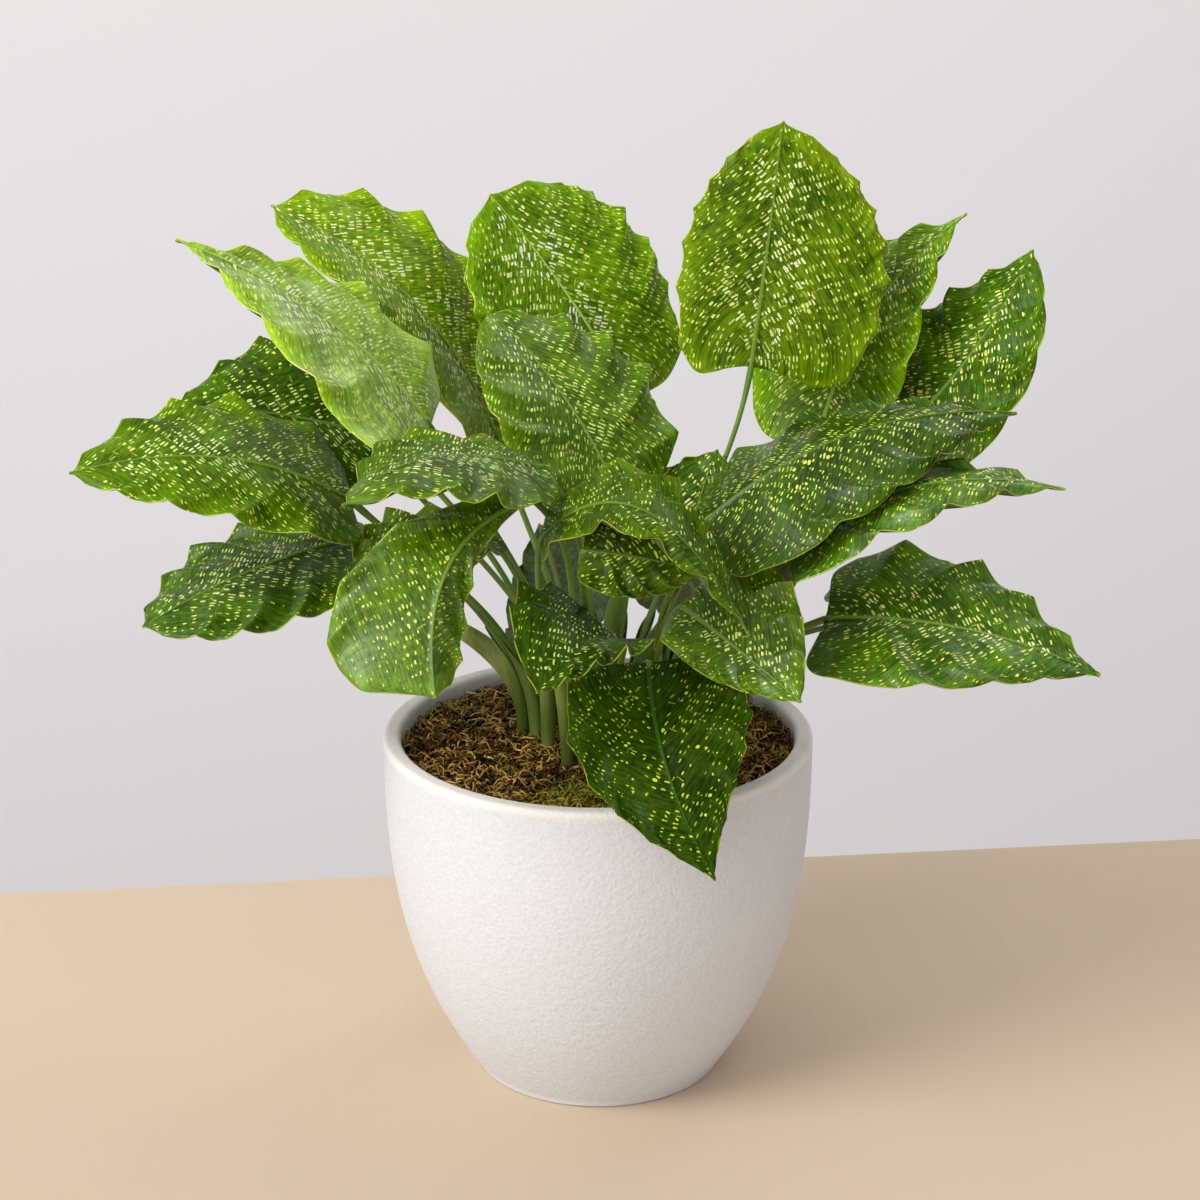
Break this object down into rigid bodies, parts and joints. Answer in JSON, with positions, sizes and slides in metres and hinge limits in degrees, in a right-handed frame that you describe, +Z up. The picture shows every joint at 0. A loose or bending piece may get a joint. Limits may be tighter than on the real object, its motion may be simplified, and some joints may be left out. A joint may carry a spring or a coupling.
{
  "type": "potted house plant",
  "caption": "Calathea with dashed, wavy-edged leaves on slender stalks, growing from a moss-topped mix in a matte white, round-bellied pot.",
  "frame": {"origin": "centre of the pot's foot, on the surface it stands on", "axes": "+Z up, the front of the plant faces -Y, +X to the right seen from the front"},
  "size_m": [0.4531, 0.3058, 0.4552],
  "materials": {
    "pot_white": "matte, finely pebbled",
    "mix_dark": "damp, crumbly",
    "moss_brown": "dry, stringy",
    "leaf_green": "waxy, with pale dashes between the veins"
  },
  "bodies": {
    "root": {"pot": "pot_white", "potting_mix": "mix_dark", "moss_topping": "moss_brown", "leaf_01": "leaf_green", "leaf_02": "leaf_green", "leaf_03": "leaf_green", "leaf_04": "leaf_green", "leaf_05": "leaf_green", "leaf_06": "leaf_green", "leaf_07": "leaf_green", "leaf_08": "leaf_green", "leaf_09": "leaf_green", "leaf_10": "leaf_green", "leaf_11": "leaf_green", "leaf_12": "leaf_green", "leaf_13": "leaf_green", "leaf_14": "leaf_green", "leaf_15": "leaf_green", "leaf_16": "leaf_green", "leaf_17": "leaf_green", "leaf_18": "leaf_green", "leaf_19": "leaf_green", "leaf_20": "leaf_green", "leaf_21": "leaf_green", "leaf_22": "leaf_green", "leaf_23": "leaf_green", "leaf_24": "leaf_green", "leaf_25": "leaf_green", "leaf_26": "leaf_green", "leaf_27": "leaf_green", "leaf_28": "leaf_green", "leaf_29": "leaf_green"}
  },
  "joints": []
}
